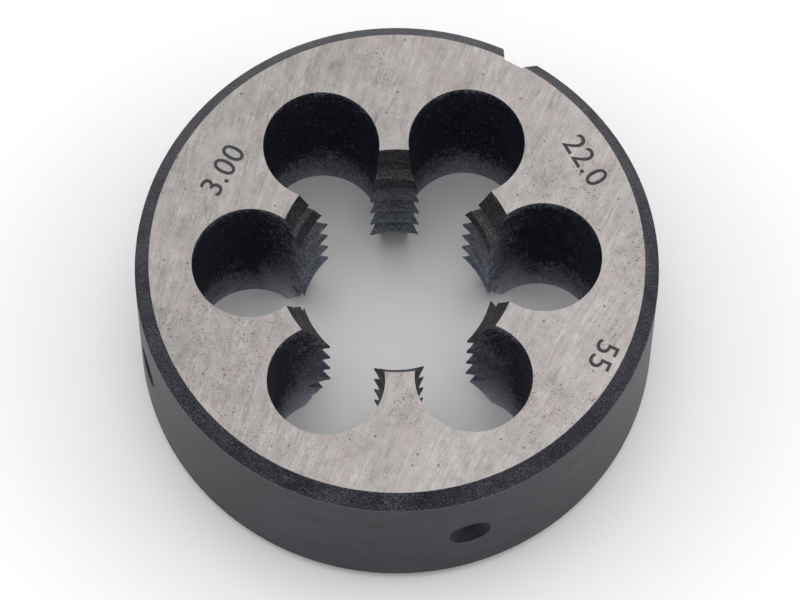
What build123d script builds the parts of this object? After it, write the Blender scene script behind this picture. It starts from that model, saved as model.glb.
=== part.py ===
from build123d import *
import math
import os

# Round threading die for M24 x 3, made from one piece of tool steel. All sizes are in mm.
# The origin is at the centre of the back face. +Z runs along the thread axis, towards
# the lead face, and the V notch in the rim is on +Y.

# body
OUTSIDE_DIAMETER = 55.0
THICKNESS = 22.0
RIM_CHAMFER = 1.5

# thread, right-hand, ISO metric profile
MAJOR_DIAMETER = 24.0
PITCH = 3.0
FLANK_HALF_ANGLE = 30.0
GROOVE_HEIGHT_ON_X = 0.11
GROOVE_OVERRUN = 0.28

# cones at the two ends of the thread
CONE_RELIEF = 0.65
LEAD_CONE_HALF_ANGLE = 25.0
BACK_CONE_HALF_ANGLE = 24.0

# chip flutes
FLUTE_COUNT = 6
FLUTE_DIAMETER = 12.3
FLUTE_SETBACK = 3.35
CUTTER_STOP_ANGLE = 6.0

# shallow V notch in the rim with a flat floor, over one flute
NOTCH_DIRECTION = 90.0
NOTCH_ANGLE = 60.0
NOTCH_DEPTH = 1.75
NOTCH_FLOOR_WIDTH = 2.1
NOTCH_OVERRUN = 1.0

# conical screw seats in the rim
SEAT_COUNT = 4
SEAT_DIAMETER = 5.0
SEAT_DEPTH = 2.5

rim_radius = OUTSIDE_DIAMETER / 2
major_radius = MAJOR_DIAMETER / 2

# The ISO profile: the sharp V is 0.866 of the pitch high. The teeth reach 17/24 of that
# into the bar, which is the root of an external thread, and the groove between them
# keeps a flat of an eighth of the pitch, which forms the bar's crest.
sharp_height = math.sqrt(3) / 2 * PITCH
thread_depth = 17 / 24 * sharp_height
root_flat = PITCH / 8
minor_radius = major_radius - thread_depth

mouth_radius = major_radius + CONE_RELIEF
cone_step = mouth_radius - minor_radius
lead_cone_depth = cone_step / math.tan(math.radians(LEAD_CONE_HALF_ANGLE))
back_cone_depth = cone_step / math.tan(math.radians(BACK_CONE_HALF_ANGLE))

land_step = 360 / FLUTE_COUNT
flute_centre_radius = major_radius + FLUTE_SETBACK
notch_floor_radius = rim_radius - NOTCH_DEPTH


# One land's crossing of the thread groove. The cutter is the 60 degree V on a short run
# of the helix, and it starts and stops in the open flutes on both sides of the land.
groove_depth = thread_depth + GROOVE_OVERRUN
groove_mouth = root_flat + 2 * groove_depth * math.tan(math.radians(FLANK_HALF_ANGLE))
cutter_run = land_step - 2 * CUTTER_STOP_ANGLE
cutter_plane = Plane(origin=(major_radius, 0, 0), x_dir=(1, 0, 0), z_dir=(0, -1, 0))

with BuildPart() as groove:
    with BuildLine() as groove_path:
        Helix(pitch=PITCH, height=PITCH * cutter_run / 360, radius=major_radius)
    with BuildSketch(cutter_plane):
        with BuildLine():
            Polyline(
                (-groove_depth, -groove_mouth / 2),
                (0, -root_flat / 2),
                (0, root_flat / 2),
                (-groove_depth, groove_mouth / 2),
                close=True,
            )
        make_face()
    sweep(path=groove_path.wires()[0], is_frenet=True)


# Where the groove crosses the lands. Each step turns by one land, which climbs the same
# share of the pitch. One turn more at each end runs the groove out of both faces.
turns_in_body = math.ceil(THICKNESS / PITCH)
first_cutter_angle = NOTCH_DIRECTION - land_step / 2 - cutter_run / 2
crossings = []
for step in range(-FLUTE_COUNT, FLUTE_COUNT * (turns_in_body + 1)):
    angle = first_cutter_angle + land_step * step
    height = GROOVE_HEIGHT_ON_X + PITCH * angle / 360
    crossings.append(Location((0, 0, height), (0, 0, angle)))


with BuildPart() as die:
    # turned blank, both rim edges broken
    with BuildSketch(Plane.XY):
        Circle(rim_radius)
    extrude(amount=THICKNESS)
    chamfer(die.edges().filter_by(GeomType.CIRCLE), RIM_CHAMFER)

    # core hole at the thread's minor diameter
    with BuildSketch(Plane.XY):
        Circle(minor_radius)
    extrude(amount=THICKNESS, mode=Mode.SUBTRACT)

    # long lead cone in the lead face, short one in the back face
    with Locations((0, 0, THICKNESS)):
        Cone(
            bottom_radius=minor_radius,
            top_radius=mouth_radius,
            height=lead_cone_depth,
            align=(Align.CENTER, Align.CENTER, Align.MAX),
            mode=Mode.SUBTRACT,
        )
    Cone(
        bottom_radius=mouth_radius,
        top_radius=minor_radius,
        height=back_cone_depth,
        align=(Align.CENTER, Align.CENTER, Align.MIN),
        mode=Mode.SUBTRACT,
    )

    # chip flutes, open to the core hole, one of them in line with the notch
    with BuildSketch(Plane.XY):
        with PolarLocations(flute_centre_radius, FLUTE_COUNT, start_angle=NOTCH_DIRECTION):
            Circle(FLUTE_DIAMETER / 2)
    extrude(amount=THICKNESS, mode=Mode.SUBTRACT)

    # notch over the whole thickness, for the point of a centre screw
    notch_reach = NOTCH_DEPTH + NOTCH_OVERRUN
    notch_flare = notch_reach * math.tan(math.radians(NOTCH_ANGLE / 2))
    notch_outward = Vector(1, 0, 0).rotate(Axis.Z, NOTCH_DIRECTION)
    with BuildSketch(Plane(origin=notch_outward * notch_floor_radius, x_dir=notch_outward)):
        with BuildLine():
            Polyline(
                (0, -NOTCH_FLOOR_WIDTH / 2),
                (0, NOTCH_FLOOR_WIDTH / 2),
                (notch_reach, NOTCH_FLOOR_WIDTH / 2 + notch_flare),
                (notch_reach, -NOTCH_FLOOR_WIDTH / 2 - notch_flare),
                close=True,
            )
        make_face()
    extrude(amount=THICKNESS, mode=Mode.SUBTRACT)

    # seats for the holder's screws, half way up the rim and clear of the notch
    seat_step = 360 / SEAT_COUNT
    for seat_index in range(SEAT_COUNT):
        seat_angle = NOTCH_DIRECTION + seat_step * (seat_index + 0.5)
        outward = Vector(1, 0, 0).rotate(Axis.Z, seat_angle)
        seat_plane = Plane(origin=outward * rim_radius + Vector(0, 0, THICKNESS / 2), z_dir=outward)
        with Locations(seat_plane):
            Cone(
                bottom_radius=0,
                top_radius=SEAT_DIAMETER / 2,
                height=SEAT_DEPTH,
                align=(Align.CENTER, Align.CENTER, Align.MAX),
                mode=Mode.SUBTRACT,
            )

    # thread groove, crossing by crossing
    with Locations(*crossings):
        add(groove.part, mode=Mode.SUBTRACT)

os.makedirs("parts", exist_ok=True)
die.part.label = "threading_die"
export_step(die.part, "parts/threading_die.step")
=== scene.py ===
import math

import bmesh
import bpy
from mathutils import Matrix, Vector


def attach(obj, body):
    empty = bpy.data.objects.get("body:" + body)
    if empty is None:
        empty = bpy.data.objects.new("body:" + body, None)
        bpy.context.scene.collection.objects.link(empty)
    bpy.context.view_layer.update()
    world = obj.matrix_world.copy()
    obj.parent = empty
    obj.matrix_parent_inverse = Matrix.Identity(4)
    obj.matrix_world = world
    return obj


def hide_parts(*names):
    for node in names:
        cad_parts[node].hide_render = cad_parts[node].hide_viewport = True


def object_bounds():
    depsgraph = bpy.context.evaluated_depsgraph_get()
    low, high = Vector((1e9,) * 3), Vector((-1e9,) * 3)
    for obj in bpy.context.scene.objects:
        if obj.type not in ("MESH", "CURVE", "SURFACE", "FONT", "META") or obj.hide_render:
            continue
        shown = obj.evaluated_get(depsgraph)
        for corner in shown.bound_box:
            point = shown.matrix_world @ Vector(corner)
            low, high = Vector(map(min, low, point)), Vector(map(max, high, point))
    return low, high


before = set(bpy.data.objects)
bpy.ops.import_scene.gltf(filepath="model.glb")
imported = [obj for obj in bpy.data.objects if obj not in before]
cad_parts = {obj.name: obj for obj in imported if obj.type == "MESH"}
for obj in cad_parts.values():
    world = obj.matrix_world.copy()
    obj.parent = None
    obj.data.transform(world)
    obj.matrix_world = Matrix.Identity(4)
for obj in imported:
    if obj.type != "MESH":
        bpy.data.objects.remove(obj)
cad_low, cad_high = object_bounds()

MM = 0.001

# Sizes that the frame gives, and the ones that name its regions, in metres.
RIM_RADIUS = cad_high[0]
THICKNESS = cad_high[2] - cad_low[2]
FACE_HEIGHT = cad_high[2]
MIDDLE = Vector((0, 0, THICKNESS / 2))
RIM_CHAMFER = 1.5 * MM
FLUTE_RADIUS = 6.15 * MM
FLUTE_CENTRE_RADIUS = 15.35 * MM
FLUTE_COUNT = 6
NOTCH_DIRECTION = math.radians(90)
THREAD_REACH = 13.0 * MM
SEAT_COUNT = 4
SEAT_RADIUS = 2.5 * MM
EDGE_ROUNDING = 0.06 * MM

# How the frame's mesh is read: what is merged, and what counts as in place, as level, as flat
# and as smooth.
MERGE_DISTANCE = 0.001 * MM
REGION_TOLERANCE = 0.03 * MM
LEVEL_NORMAL = 0.999
FLAT_ANGLE = math.radians(0.5)
SMOOTH_ANGLE = math.radians(24)

# Marks on the lead face: each one's name, its digits, and the radius and direction of their middle.
MARKS = (
    ("mark_pitch", "3.00", 20.9 * MM, math.radians(179.5)),
    ("mark_thickness", "22.0", 22.8 * MM, math.radians(58.5)),
    ("mark_diameter", "55", 23.9 * MM, math.radians(2.0)),
)
MARK_HEIGHT = 2.5 * MM
MARK_PROUD = 0.01 * MM
MARK_STROKE_GROWTH = 0.02 * MM
MARK_SPACING = 1.05
DIGIT_SHARE_OF_FONT = 0.73

# Where the face is pitted most: the middle of each spot and its reach, in millimetres.
PIT_CLUSTERS = (
    ((-11.0, -17.0), 6.0),
    ((9.0, -13.5), 3.0),
    ((9.0, 14.5), 3.0),
    ((21.0, -7.0), 4.0),
)

# Painted light: the side towards which the ground face's colour is a little paler, as if more light
# fell from there, and by how much its tone leans.
PAINTED_LIGHT_SIDE = math.radians(32)
PAINTED_LIGHT_LEAN = 0.07

# Directions of the grinding lines, of the ones that cross them, and of the marks of handling.
GRINDING_TURN = math.radians(96)
CROSSING_TURN = math.radians(116)
SCRATCH_TURN = math.radians(101)
GOUGE_TURN = math.radians(88)

# The grinding lines spread from a point this far off, in millimetres.
STREAK_FAN = 150.0

# The three directions that hairline scratches take.
HAIR_TURNS = (
    (0.3, 0.5, 0.2),
    (-0.6, 1.1, 1.4),
    (0.9, -0.7, 2.5),
)

# Heights above the back face between which a finish or its painted light changes, in millimetres.
PAINTED_LIGHT_HEIGHTS = (0.0, 11.0)
WALL_HEIGHTS = (2.0, 19.0)
LIP_HEIGHTS = (20.0, 22.0)
BLUE_TO_BROWN_HEIGHTS = (9.0, 17.0)
SPECKED_HEIGHTS = (6.0, 16.0)

# How far from the die's axis the flutes' walls carry painted light, in millimetres.
PAINTED_LIGHT_WALL_REACH = (10.5, 16.0)

# How far above or below its middle the rim's speckled chamfers begin, in millimetres.
CHAMFER_START = (THICKNESS / 2 - RIM_CHAMFER) / MM
CHAMFER_BLEND = 0.25

# How deep the grain is that roughens a finish.
GRAIN_DEPTH = 0.02 * MM

# Colours of the ground face.
STEEL_DARK = (0.051, 0.0479, 0.0465)
STEEL_BRIGHT = (0.60, 0.5705, 0.5565)
STAIN = (0.33, 0.288, 0.272)
BLUSH = (1.02, 0.98, 0.965)
SCRATCH = (0.62, 0.60, 0.585)
GOUGE = (0.16, 0.148, 0.142)
POCKED = (0.25, 0.222, 0.21)
PIT = (0.05, 0.046, 0.045)

# Colours of the rim and its chamfers.
OXIDE_DEEP = (0.005, 0.005, 0.011)
OXIDE_THIN = (0.018, 0.018, 0.028)
OXIDE_SPECK = (0.22, 0.22, 0.24)
OXIDE_HAIR = (0.24, 0.24, 0.255)
OXIDE_SCUFF = (0.11, 0.108, 0.112)

# Colours of the rubbed edges.
RUBBED_DARK = (0.03, 0.03, 0.034)
RUBBED_BRIGHT = (0.26, 0.25, 0.245)

# Colours of the flutes.
FLUTE_DEEP = (0.0045, 0.0052, 0.0135)
# Painted light: the pale blue-grey that is painted on the flutes, as if lit from below.
FLUTE_PAINTED_LIGHT = (0.70, 0.71, 0.83)
FLUTE_SPECK = (0.20, 0.208, 0.235)
FLUTE_FLECK = (0.2, 0.208, 0.23)
FLUTE_HAIR = (0.38, 0.39, 0.43)

# Colours of the cones and the teeth.
BROWN_DEEP = (0.001, 0.0009, 0.003)
BROWN_PALE = (0.042, 0.0385, 0.044)
BLUE_DEEP = (0.005, 0.007, 0.018)
BLUE_PALE = (0.122, 0.133, 0.182)
# Painted light: the pale grey that is painted on the teeth near the back face, as if lit from below.
TEETH_PAINTED_LIGHT = (0.235, 0.245, 0.285)
TEETH_SPECK = (0.31, 0.318, 0.36)

# Colours of the etched digits and of the floor.
ETCH_DEEP = (0.018, 0.018, 0.021)
ETCH_THIN = (0.062, 0.060, 0.062)
FLOOR_GREY = (0.89, 0.89, 0.89, 1.0)

# Camera: where it looks from, in the object's own frame.
CAMERA_AZIMUTH = math.radians(28.1)
CAMERA_ELEVATION = math.radians(67.61)
CAMERA_ROLL = math.radians(0.598)
CAMERA_DISTANCE = 590.63 * MM
CAMERA_SIDESTEP = -0.366 * MM
CAMERA_RISE = 0.01 * MM
CAMERA_NEAR = 0.01
CAMERA_FAR = 10.0
FOCAL_LENGTH_PIXELS = 5547.4
IMAGE_WIDTH_PIXELS = 800
SENSOR_WIDTH = 36.0

# How far the floor reaches on each side, in metres.
FLOOR_REACH = 3.0

# Square lamps: the direction that each shines from and its height, in degrees, its distance and
# its width, in metres, and its power, in watts.
LAMPS = (
    ("key_light", 208, 62, 0.9, 0.9, 0.8),
    ("top_light", 0, 89, 0.9, 0.5, 1.5),
    ("left_light", 298, 42, 0.8, 0.5, 0.9),
    ("right_light", 118, 42, 0.8, 0.5, 0.9),
)

# The room round the die: its mean brightness, how much it leans, and the side from which least
# light comes.
WORLD_STRENGTH = 0.80
WORLD_LEAN = 0.2
DIM_SIDE = math.radians(10.0)


# ---------------------------------------------------------------- nodes

def fill(tree, socket, value):
    """Links an input to another node's output, or sets it to a plain value."""
    if isinstance(value, bpy.types.NodeSocket):
        tree.links.new(value, socket)
    else:
        socket.default_value = value


def add_node(tree, kind, **values):
    """A shader node.

    Keywords with an underscore in front are the node's own settings. The rest name its inputs.
    """
    node = tree.nodes.new(kind)
    for key, value in values.items():
        if key.startswith("_"):
            setattr(node, key[1:], value)
        else:
            fill(tree, node.inputs[key.replace("_", " ")], value)
    return node


def new_material(name):
    material = bpy.data.materials.new(name)
    material.use_nodes = True
    material.node_tree.nodes.clear()
    return material, material.node_tree


def surface_of(tree, **values):
    shader = add_node(tree, "ShaderNodeBsdfPrincipled", **values)
    add_node(tree, "ShaderNodeOutputMaterial", Surface=shader.outputs["BSDF"])
    return shader


def add_grain(tree, shader, relief, strength):
    """Roughens a surface by the relief, in the shader alone."""
    bump = add_node(tree, "ShaderNodeBump", Strength=strength, Distance=GRAIN_DEPTH, Height=relief)
    fill(tree, shader.inputs["Normal"], bump.outputs["Normal"])


def combine(tree, operation, first, second=0.0):
    """The result of a sum on two values, or on the first alone where the operation needs only one."""
    node = add_node(tree, "ShaderNodeMath", _operation=operation)
    fill(tree, node.inputs[0], first)
    fill(tree, node.inputs[1], second)
    return node.outputs["Value"]


def product(tree, first, *others):
    for other in others:
        first = combine(tree, "MULTIPLY", first, other)
    return first


def largest(tree, first, *others):
    for other in others:
        first = combine(tree, "MAXIMUM", first, other)
    return first


def mixed(tree, *shares):
    """The sum of several values, each with its own share."""
    total = None
    for value, share in shares:
        part = product(tree, value, share)
        total = part if total is None else combine(tree, "ADD", total, part)
    return total


def spread(tree, value, low, high, to_low=0.0, to_high=1.0):
    """The value stretched from low..high to to_low..to_high, and held there."""
    node = add_node(
        tree,
        "ShaderNodeMapRange",
        Value=value,
        From_Min=low,
        From_Max=high,
        To_Min=to_low,
        To_Max=to_high,
    )
    return node.outputs["Result"]


def blend_colours(tree, factor, first, second, kind="MIX"):
    """One colour over another. The numbers are the places of a Mix node's colour sockets."""
    node = add_node(tree, "ShaderNodeMix", _data_type="RGBA", _blend_type=kind)
    for place, value in ((0, factor), (6, first), (7, second)):
        if isinstance(value, tuple):
            value = (*value, 1.0)
        fill(tree, node.inputs[place], value)
    return node.outputs[2]


# ---------------------------------------------------------------- places and patterns

def mapped(tree, place, **values):
    return add_node(tree, "ShaderNodeMapping", Vector=place, **values).outputs["Vector"]


def millimetres(tree):
    """The object's own coordinates, in millimetres."""
    place = add_node(tree, "ShaderNodeTexCoord")
    return mapped(tree, place.outputs["Object"], Scale=(1 / MM, 1 / MM, 1 / MM))


def split_place(tree, place):
    node = add_node(tree, "ShaderNodeSeparateXYZ", Vector=place)
    return node.outputs["X"], node.outputs["Y"], node.outputs["Z"]


def join_place(tree, across, along, upward):
    return add_node(tree, "ShaderNodeCombineXYZ", X=across, Y=along, Z=upward).outputs["Vector"]


def measure(tree, operation, first, second=(0.0, 0.0, 0.0)):
    """The length of a vector, or the distance or dot product of two."""
    node = add_node(tree, "ShaderNodeVectorMath", _operation=operation)
    fill(tree, node.inputs[0], first)
    fill(tree, node.inputs[1], second)
    return node.outputs["Value"]


def from_bore(tree, place):
    """The distance from the die's axis, in millimetres."""
    return measure(tree, "LENGTH", mapped(tree, place, Scale=(1.0, 1.0, 0.0)))


def noise(tree, place, scale, detail=2.0, roughness=0.5):
    node = add_node(tree, "ShaderNodeTexNoise", Scale=scale, Detail=detail, Roughness=roughness)
    fill(tree, node.inputs["Vector"], place)
    return node.outputs["Fac"]


def turned(tree, place, angle, along, across):
    """The place turned so that a streak at that angle runs along X, then squeezed to its shape.

    The streaks open like a fan from a far point, as the grinding lines on the face do.
    """
    turn = mapped(tree, place, Rotation=(0, 0, -angle))
    forward, sideways, upward = split_place(tree, turn)
    narrowing = combine(tree, "ADD", combine(tree, "DIVIDE", forward, STREAK_FAN), 1.0)
    fanned = combine(tree, "DIVIDE", sideways, narrowing)
    return join_place(
        tree,
        combine(tree, "DIVIDE", forward, along),
        combine(tree, "DIVIDE", fanned, across),
        combine(tree, "DIVIDE", upward, across),
    )


def spun(tree, place, around, out, up):
    """The place as it follows the die round: turns by around, radius by out and height by up."""
    across, along, height = split_place(tree, place)
    turns = combine(tree, "ARCTAN2", along, across)
    return join_place(
        tree,
        product(tree, turns, around),
        product(tree, from_bore(tree, place), out),
        product(tree, height, up),
    )


def dots(tree, place, scale, inner, outer, share, span="3D"):
    """Round dots in that share of the cells, fading from inner to outer, in cell widths."""
    cells = add_node(tree, "ShaderNodeTexVoronoi", _voronoi_dimensions=span, Scale=scale)
    fill(tree, cells.inputs["Vector"], place)
    chance = add_node(tree, "ShaderNodeSeparateColor", Color=cells.outputs["Color"])
    chosen = combine(tree, "LESS_THAN", chance.outputs["Red"], share)
    disc = spread(tree, cells.outputs["Distance"], inner, outer, 1.0, 0.0)
    return product(tree, disc, chosen)


def hairlines(tree, place, length, width, low, high):
    """Thin straight hairlines that run in three directions, in space."""
    narrow = (1 / length, 1 / width, 1 / width)
    lines = []
    for turn in HAIR_TURNS:
        drawn_out = mapped(tree, place, Rotation=turn, Scale=narrow)
        lines.append(spread(tree, noise(tree, drawn_out, 1.0, 1.0), low, high))
    return largest(tree, *lines)


def near_spot(tree, place, centre, reach):
    """One near a spot on the face, falling off to nothing at the reach, in millimetres."""
    away = measure(tree, "DISTANCE", place, (*centre, FACE_HEIGHT / MM))
    return spread(tree, away, reach * 0.5, reach, 1.0, 0.0)


# ---------------------------------------------------------------- materials

def grinding_tone(tree, place):
    """How bright the ground face is: streaks in patches, over grain, blotches, wide clouds and painted
    light paler on one side.
    """
    fine = noise(tree, turned(tree, place, GRINDING_TURN, 2.2, 0.16), 1.0, 2.0, 0.6)
    crossing = noise(tree, turned(tree, place, CROSSING_TURN, 1.5, 0.2), 1.0, 2.0, 0.6)
    broad = noise(tree, turned(tree, place, GRINDING_TURN, 4.0, 1.1), 1.0, 3.0, 0.6)
    grain = noise(tree, place, 4.0, 4.0, 0.75)
    speckle = noise(tree, place, 10.0, 2.0, 0.7)
    blotch = noise(tree, place, 1.1, 3.0, 0.6)
    cloud = noise(tree, place, 0.22, 3.0, 0.6)
    haze = noise(tree, place, 0.05)
    patch = spread(tree, noise(tree, place, 0.28), 0.42, 0.6, 0.35, 1.6)
    streaks = combine(tree, "SUBTRACT", mixed(tree, (fine, 0.7), (crossing, 0.3)), 0.5)
    # Painted light: the tone leans paler towards one side, as if more light fell from there.
    towards_painted_light_side = (math.cos(PAINTED_LIGHT_SIDE), math.sin(PAINTED_LIGHT_SIDE), 0.0)
    side = measure(tree, "DOT_PRODUCT", place, towards_painted_light_side)
    painted_light_lean = spread(tree, side, -RIM_RADIUS / MM, RIM_RADIUS / MM, -PAINTED_LIGHT_LEAN, PAINTED_LIGHT_LEAN)
    tone = mixed(
        tree,
        (product(tree, streaks, patch), 0.55),
        (broad, 0.35),
        (grain, 0.5),
        (speckle, 0.3),
        (blotch, 0.3),
        (cloud, 0.35),
        (haze, 0.1),
        (painted_light_lean, 1.0),
    )
    return spread(tree, tone, 0.49, 1.49)


def scratched(tree, place, colour):
    """The ground face's colour with pale scratches and dark gouges, almost along the grinding."""
    scratch = noise(tree, turned(tree, place, SCRATCH_TURN, 11.0, 0.12), 1.0, 1.0)
    colour = blend_colours(tree, spread(tree, scratch, 0.68, 0.78, 0.0, 0.35), colour, SCRATCH)
    gouge = noise(tree, turned(tree, place, GOUGE_TURN, 8.0, 0.14), 1.0, 1.0)
    return blend_colours(tree, spread(tree, gouge, 0.7, 0.8, 0.0, 0.35), colour, GOUGE)


def pitted(tree, place, colour):
    """The ground face's colour with dark pits, thick in a few places and single ones elsewhere."""
    pocked = spread(tree, noise(tree, place, 0.16), 0.56, 0.7)
    for centre, reach in PIT_CLUSTERS:
        pocked = largest(tree, pocked, near_spot(tree, place, centre, reach))
    pocked = product(tree, pocked, spread(tree, noise(tree, place, 0.7), 0.4, 0.6, 0.2, 1.0))
    colour = blend_colours(tree, product(tree, pocked, 0.4), colour, POCKED)
    tiny = dots(tree, place, 3.4, 0.1, 0.32, product(tree, pocked, 0.45), "2D")
    small = dots(tree, place, 1.5, 0.05, 0.2, product(tree, pocked, 0.4), "2D")
    lone = dots(tree, place, 0.42, 0.03, 0.07, 0.22, "2D")
    pits = product(tree, largest(tree, tiny, small, lone), 0.72)
    return blend_colours(tree, pits, colour, PIT)


def ground_steel():
    """Surface-ground high-speed steel, with faint stains, scratches and pits."""
    material, tree = new_material("ground_steel")
    place = millimetres(tree)
    tone = grinding_tone(tree, place)
    colour = blend_colours(tree, tone, STEEL_DARK, STEEL_BRIGHT)
    stains = spread(tree, noise(tree, place, 0.35, 4.0, 0.65), 0.5, 0.72, 0.0, 0.5)
    colour = blend_colours(tree, stains, colour, STAIN)
    blush = spread(tree, noise(tree, place, 0.3), 0.42, 0.68)
    colour = blend_colours(tree, blush, colour, BLUSH, "MULTIPLY")
    colour = scratched(tree, place, colour)
    colour = pitted(tree, place, colour)
    roughness = spread(tree, tone, 0.2, 0.8, 0.36, 0.52)
    shader = surface_of(tree, Base_Color=colour, Roughness=roughness, Metallic=1.0)
    add_grain(tree, shader, tone, 0.25)
    return material


def black_oxide():
    """The dark skin that hardening leaves: speckled on the chamfers, and turned smooth on the rim."""
    material, tree = new_material("black_oxide")
    place = millimetres(tree)
    _, _, height = split_place(tree, place)
    off_middle = combine(tree, "ABSOLUTE", combine(tree, "SUBTRACT", height, THICKNESS / MM / 2))
    chamfered = spread(tree, off_middle, CHAMFER_START - CHAMFER_BLEND, CHAMFER_START)
    cloud = noise(tree, place, 0.35, 4.0, 0.6)
    grain = noise(tree, place, 6.5, 4.0, 0.85)
    turning = noise(tree, spun(tree, place, 1.2, 1.0, 7.0), 1.0, 3.0, 0.7)
    thin = spread(tree, mixed(tree, (cloud, 0.6), (turning, 0.4)), 0.35, 0.65)
    colour = blend_colours(tree, thin, OXIDE_DEEP, OXIDE_THIN)

    dusted = spread(tree, cloud, 0.36, 0.62, 0.35, 1.0)
    on_chamfer = spread(tree, chamfered, 0.0, 1.0, 0.1, 1.0)
    specks = product(tree, spread(tree, grain, 0.5, 0.74), dusted, on_chamfer)
    colour = blend_colours(tree, specks, colour, OXIDE_SPECK)
    hairs = product(tree, chamfered, 0.6, hairlines(tree, place, 1.6, 0.09, 0.68, 0.8))
    colour = blend_colours(tree, hairs, colour, OXIDE_HAIR)
    scuff = noise(tree, spun(tree, place, 9.0, 1.0, 2.4), 1.0, 4.0, 0.75)
    colour = blend_colours(tree, spread(tree, scuff, 0.62, 0.8, 0.0, 0.35), colour, OXIDE_SCUFF)

    roughness = spread(tree, mixed(tree, (grain, 0.4), (turning, 0.6)), 0.3, 0.7, 0.3, 0.5)
    shader = surface_of(tree, Base_Color=colour, Roughness=roughness, Specular_IOR_Level=0.13)
    relief = mixed(tree, (product(tree, grain, chamfered), 0.6), (turning, 0.5))
    add_grain(tree, shader, relief, 0.3)
    return material


def rubbed_edge():
    """The long edges, where handling has rubbed the skin down to the steel."""
    material, tree = new_material("rubbed_edge")
    grain = noise(tree, millimetres(tree), 1.6, 4.0, 0.7)
    colour = blend_colours(tree, spread(tree, grain, 0.35, 0.62), RUBBED_DARK, RUBBED_BRIGHT)
    surface_of(tree, Base_Color=colour, Metallic=0.6, Roughness=0.42, Specular_IOR_Level=0.3)
    return material


def flute_painted_light(tree, place, tall):
    """How strong the painted light on the flutes is: most near the back face and on the walls by the
    bore, as if lit from below, and a little at the lip.
    """
    _, _, height = split_place(tree, place)
    cloud = noise(tree, place, 0.4, 4.0, 0.6)
    mottle = noise(tree, tall, 3.2, 4.0, 0.85)
    rise = combine(tree, "POWER", spread(tree, height, *PAINTED_LIGHT_HEIGHTS, 1.0, 0.0), 1.6)
    lip = spread(tree, height, *LIP_HEIGHTS, 0.0, 0.1)
    inward = spread(tree, from_bore(tree, place), *PAINTED_LIGHT_WALL_REACH, 1.0, 0.0)
    inward = product(tree, inward, spread(tree, height, *WALL_HEIGHTS, 0.38, 0.13))
    filling = mixed(tree, (mottle, 0.55), (rise, 0.3), (lip, 1.0), (inward, 1.0), (cloud, 0.2))
    return spread(tree, filling, 0.44, 0.98)


def flute_black():
    """The flutes: a deeper black, with painted blue-grey light from below, pale specks and hairlines.
    """
    material, tree = new_material("flute_black")
    place = millimetres(tree)
    tall = mapped(tree, place, Scale=(1.0, 1.0, 0.45))
    grain = noise(tree, tall, 3.6, 4.0, 0.85)
    # Painted light: the flutes grow pale towards the back face and the bore, as if lit from below.
    colour = blend_colours(tree, flute_painted_light(tree, place, tall), FLUTE_DEEP, FLUTE_PAINTED_LIGHT)
    drift = spread(tree, noise(tree, place, 0.5), 0.42, 0.62, 0.1, 1.0)
    specks = product(tree, spread(tree, grain, 0.57, 0.76), drift)
    colour = blend_colours(tree, specks, colour, FLUTE_SPECK)
    colour = blend_colours(tree, dots(tree, place, 1.3, 0.06, 0.16, 0.3), colour, FLUTE_FLECK)
    hairs = product(tree, hairlines(tree, place, 1.8, 0.1, 0.69, 0.8), 0.5)
    colour = blend_colours(tree, hairs, colour, FLUTE_HAIR)
    roughness = spread(tree, grain, 0.3, 0.7, 0.42, 0.6)
    shader = surface_of(tree, Base_Color=colour, Roughness=roughness, Specular_IOR_Level=0.02)
    add_grain(tree, shader, grain, 0.3)
    return material


def cut_steel():
    """The turned cones and the thread's teeth: brown above, blue below, with rings left by the cut,
    and painted light near the back face.
    """
    material, tree = new_material("cut_steel")
    place = millimetres(tree)
    _, _, height = split_place(tree, place)
    rings = noise(tree, spun(tree, place, 2.5, 4.0, 5.0), 1.0, 3.0, 0.65)
    grain = noise(tree, place, 4.5, 3.0, 0.75)
    blotch = noise(tree, place, 1.3, 4.0, 0.7)
    tone = spread(tree, mixed(tree, (rings, 0.4), (grain, 0.35), (blotch, 0.25)), 0.39, 0.61)
    brown = blend_colours(tree, tone, BROWN_DEEP, BROWN_PALE)
    blue = blend_colours(tree, tone, BLUE_DEEP, BLUE_PALE)
    colour = blend_colours(tree, spread(tree, height, *BLUE_TO_BROWN_HEIGHTS), blue, brown)
    # Painted light: the teeth grow paler near the back face, as if lit from below.
    low_down = spread(tree, height, *PAINTED_LIGHT_HEIGHTS, 0.25, 0.0)
    pale = product(tree, low_down, spread(tree, grain, 0.3, 0.7))
    colour = blend_colours(tree, pale, colour, TEETH_PAINTED_LIGHT)
    specked = spread(tree, height, *SPECKED_HEIGHTS, 0.9, 0.42)
    specks = product(tree, spread(tree, grain, 0.54, 0.72), specked)
    colour = blend_colours(tree, specks, colour, TEETH_SPECK)
    shader = surface_of(
        tree,
        Base_Color=colour,
        Roughness=spread(tree, tone, 0.0, 1.0, 0.4, 0.58),
        Metallic=0.3,
        Specular_IOR_Level=0.36,
    )
    add_grain(tree, shader, tone, 0.3)
    return material


def etched_mark():
    """Electro-etched digits: dark, dull and slightly uneven."""
    material, tree = new_material("etched_mark")
    grain = noise(tree, millimetres(tree), 5.0, 3.0, 0.7)
    colour = blend_colours(tree, spread(tree, grain, 0.35, 0.7), ETCH_DEEP, ETCH_THIN)
    surface_of(tree, Base_Color=colour, Metallic=0.1, Roughness=0.65, Specular_IOR_Level=0.3)
    return material


def pale_floor():
    material, tree = new_material("pale_floor")
    surface_of(tree, Base_Color=FLOOR_GREY, Roughness=0.9, Specular_IOR_Level=0.2)
    return material


# ---------------------------------------------------------------- the die's regions

GROUND, RIM, FLUTE, CUT, RUBBED = range(5)


def flattened(point):
    return Vector((point.x, point.y, 0))


def from_axis(point):
    return math.hypot(point.x, point.y)


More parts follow.
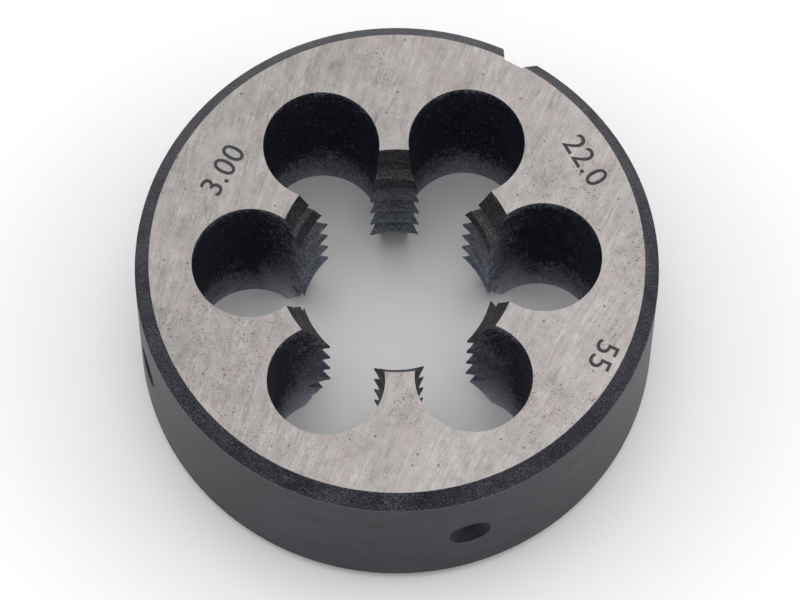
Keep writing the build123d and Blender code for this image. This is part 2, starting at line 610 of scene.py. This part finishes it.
def flute_centre(point):
    """The middle of the flute that is nearest to a point."""
    step = math.tau / FLUTE_COUNT
    turn = math.atan2(point.y, point.x) - NOTCH_DIRECTION
    nearest = NOTCH_DIRECTION + step * round(turn / step)
    return Vector((math.cos(nearest), math.sin(nearest), 0)) * FLUTE_CENTRE_RADIUS


def is_on_face(point):
    return min(abs(point.z - FACE_HEIGHT), abs(point.z)) < REGION_TOLERANCE


def is_on_flute(point):
    return abs((flattened(point) - flute_centre(point)).length - FLUTE_RADIUS) < REGION_TOLERANCE


def is_on_wall(point):
    return abs(from_axis(point) - RIM_RADIUS) < REGION_TOLERANCE + EDGE_ROUNDING


def is_on_chamfer(point):
    slant = RIM_RADIUS + THICKNESS / 2 - RIM_CHAMFER
    gap = from_axis(point) + abs(point.z - THICKNESS / 2) - slant
    return abs(gap) < REGION_TOLERANCE + EDGE_ROUNDING


def region_of(face):
    """Which finish a face of the die has."""
    corners = [vert.co for vert in face.verts]
    if abs(face.normal.z) > LEVEL_NORMAL and all(is_on_face(corner) for corner in corners):
        return GROUND
    if all(is_on_flute(corner) for corner in corners):
        return FLUTE
    if all(from_axis(corner) < THREAD_REACH for corner in corners):
        return CUT
    return RIM


def off_line(vector, axis):
    """The part of a vector that is square to the axis."""
    return vector - axis * vector.dot(axis)


def seat_axis(point):
    """The outward direction of the screw seat that a point of the rim lies in, or nothing."""
    from_middle = point - MIDDLE
    for index in range(SEAT_COUNT):
        turn = NOTCH_DIRECTION + math.tau / SEAT_COUNT * (index + 0.5)
        outward = Vector((math.cos(turn), math.sin(turn), 0))
        gap = off_line(from_middle, outward).length
        if from_middle.dot(outward) > 0 and gap < SEAT_RADIUS + REGION_TOLERANCE:
            return outward
    return None


def seat_normal(axis, facet_middle, point):
    """The normal of a screw seat's cone. At its tip the facet's own direction stands in."""
    sideways = off_line(point - MIDDLE, axis)
    if sideways.length < REGION_TOLERANCE:
        sideways = off_line(facet_middle - MIDDLE, axis)
    return (axis - sideways.normalized()).normalized()


def level_normal(point):
    """Straight up on the upper half of the die, and straight down on the lower one."""
    return Vector((0, 0, math.copysign(1, point.z - THICKNESS / 2)))


def rim_normal(corners, facet_middle, point):
    """The normal of the rim's wall, a chamfer or a screw seat. The notch keeps its own."""
    outward = flattened(point).normalized()
    if all(is_on_wall(corner) for corner in corners):
        return outward
    if all(is_on_chamfer(corner) for corner in corners):
        return (outward + level_normal(point)).normalized()
    axis = seat_axis(facet_middle)
    if axis is None:
        return Vector()
    return seat_normal(axis, facet_middle, point)


def true_normal(facet, corners, point):
    """The normal of the surface that a corner lies on. A zero vector leaves it as it is."""
    region = facet.material_index
    if region == RUBBED:
        return facet.normal.copy()
    if region == FLUTE:
        return (flute_centre(point) - flattened(point)).normalized()
    if region == GROUND:
        return level_normal(point)
    if region == RIM:
        return rim_normal(corners, facet.center, point)
    return Vector()


def smooth_round_walls(mesh):
    """Gives the round walls their exact normals, so that no facet shows."""
    normals = []
    for facet in mesh.polygons:
        corners = [mesh.vertices[index].co for index in facet.vertices]
        normals.extend(true_normal(facet, corners, corner) for corner in corners)
    mesh.normals_split_custom_set(normals)


# ---------------------------------------------------------------- pieces

def finish_piece(name, bm, materials):
    mesh = bpy.data.meshes.new(name)
    bm.to_mesh(mesh)
    bm.free()
    for material in materials:
        mesh.materials.append(material)
    piece = bpy.data.objects.new(name, mesh)
    bpy.context.collection.objects.link(piece)
    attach(piece, "root")
    return piece


def is_worn(edge):
    """Whether an edge is one of the rim's long sharp ones."""
    if len(edge.link_faces) != 2 or edge.calc_face_angle() < SMOOTH_ANGLE:
        return False
    finishes = {face.material_index for face in edge.link_faces}
    return RIM in finishes and finishes <= {RIM, GROUND}


def die_body():
    """The die itself, from the frame's own solid, with its long edges just broken."""
    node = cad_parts["threading_die"]
    bm = bmesh.new()
    bm.from_mesh(node.data)
    bmesh.ops.remove_doubles(bm, verts=bm.verts, dist=MERGE_DISTANCE)
    bmesh.ops.dissolve_limit(bm, angle_limit=FLAT_ANGLE, verts=bm.verts, edges=bm.edges)
    for face in bm.faces:
        face.material_index = region_of(face)
        face.smooth = True
    bmesh.ops.bevel(
        bm,
        geom=[edge for edge in bm.edges if is_worn(edge)],
        offset=EDGE_ROUNDING,
        offset_type="OFFSET",
        segments=1,
        affect="EDGES",
        clamp_overlap=True,
        material=RUBBED,
    )
    for edge in bm.edges:
        edge.smooth = edge.is_manifold and edge.calc_face_angle() < SMOOTH_ANGLE
    finishes = (ground_steel(), black_oxide(), flute_black(), cut_steel(), rubbed_edge())
    piece = finish_piece("die_body", bm, finishes)
    smooth_round_walls(piece.data)
    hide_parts("threading_die")


def digits_mesh(name, digits):
    """Digits as a thin slab round the origin, facing up."""
    curve = bpy.data.curves.new(name, "FONT")
    curve.body = digits
    curve.size = MARK_HEIGHT / DIGIT_SHARE_OF_FONT
    curve.align_x = "CENTER"
    curve.align_y = "CENTER"
    curve.offset = MARK_STROKE_GROWTH
    curve.space_character = MARK_SPACING
    curve.extrude = MARK_PROUD / 2
    text = bpy.data.objects.new(name + "_text", curve)
    bpy.context.collection.objects.link(text)
    mesh = bpy.data.meshes.new_from_object(text)
    bpy.data.objects.remove(text)
    return mesh


def etched_digits(name, digits, radius, direction, material):
    """Digits read clockwise around the face, with their tops towards the rim."""
    mesh = digits_mesh(name, digits)
    bm = bmesh.new()
    bm.from_mesh(mesh)
    bpy.data.meshes.remove(mesh)
    height = FACE_HEIGHT + MARK_PROUD / 2
    place = Vector((radius * math.cos(direction), radius * math.sin(direction), height))
    turn = Matrix.Rotation(direction - math.radians(90), 4, "Z")
    bmesh.ops.transform(bm, matrix=Matrix.Translation(place) @ turn, verts=bm.verts)
    finish_piece(name, bm, (material,))


# ---------------------------------------------------------------- floor, light and camera

def direction_from(azimuth, elevation):
    """The direction of something seen from the die, with azimuth 0 in front of it."""
    return Vector((
        math.sin(azimuth) * math.cos(elevation),
        -math.cos(azimuth) * math.cos(elevation),
        math.sin(elevation),
    ))


def camera_axes():
    """Right, up and back of the camera, in the object's frame."""
    back = direction_from(CAMERA_AZIMUTH, CAMERA_ELEVATION)
    level = Vector((math.cos(CAMERA_AZIMUTH), math.sin(CAMERA_AZIMUTH), 0))
    upright = back.cross(level)
    right = level * math.cos(CAMERA_ROLL) + upright * math.sin(CAMERA_ROLL)
    up = upright * math.cos(CAMERA_ROLL) - level * math.sin(CAMERA_ROLL)
    return right, up, back


def add_camera():
    right, up, back = camera_axes()
    place = MIDDLE - right * CAMERA_SIDESTEP - up * CAMERA_RISE + back * CAMERA_DISTANCE
    data = bpy.data.cameras.new("camera")
    data.sensor_width = SENSOR_WIDTH
    data.lens = SENSOR_WIDTH * FOCAL_LENGTH_PIXELS / IMAGE_WIDTH_PIXELS
    data.clip_start = CAMERA_NEAR
    data.clip_end = CAMERA_FAR
    camera = bpy.data.objects.new("camera", data)
    turn = Matrix((right, up, back)).transposed().to_4x4()
    camera.matrix_world = Matrix.Translation(place) @ turn
    bpy.context.collection.objects.link(camera)
    bpy.context.scene.camera = camera


def add_floor():
    bm = bmesh.new()
    bmesh.ops.create_grid(bm, x_segments=1, y_segments=1, size=FLOOR_REACH)
    mesh = bpy.data.meshes.new("floor")
    bm.to_mesh(mesh)
    bm.free()
    mesh.materials.append(pale_floor())
    floor = bpy.data.objects.new("floor", mesh)
    bpy.context.collection.objects.link(floor)


def add_world():
    """A white room that is dimmer on one side."""
    world = bpy.data.worlds.new("studio")
    bpy.context.scene.world = world
    world.use_nodes = True
    tree = world.node_tree
    outward = add_node(tree, "ShaderNodeTexCoord").outputs["Generated"]
    side = measure(tree, "DOT_PRODUCT", outward, direction_from(DIM_SIDE, 0))
    bright, dim = WORLD_STRENGTH * (1 + WORLD_LEAN), WORLD_STRENGTH * (1 - WORLD_LEAN)
    background = tree.nodes["Background"]
    fill(tree, background.inputs["Color"], (1.0, 1.0, 1.0, 1.0))
    fill(tree, background.inputs["Strength"], spread(tree, side, -1.0, 1.0, bright, dim))


def add_lamp(name, azimuth, elevation, distance, size, power):
    """A square soft light that faces the die, placed by the direction it shines from."""
    towards = direction_from(math.radians(azimuth), math.radians(elevation))
    data = bpy.data.lights.new(name, "AREA")
    data.shape = "SQUARE"
    data.size = size
    data.energy = power
    lamp = bpy.data.objects.new(name, data)
    lamp.location = towards * distance
    lamp.rotation_euler = towards.to_track_quat("Z", "Y").to_euler()
    bpy.context.collection.objects.link(lamp)


die_body()
mark_finish = etched_mark()
for mark in MARKS:
    etched_digits(*mark, mark_finish)

add_camera()
add_floor()
add_world()
for lamp_values in LAMPS:
    add_lamp(*lamp_values)
bpy.context.scene.view_settings.view_transform = "Standard"
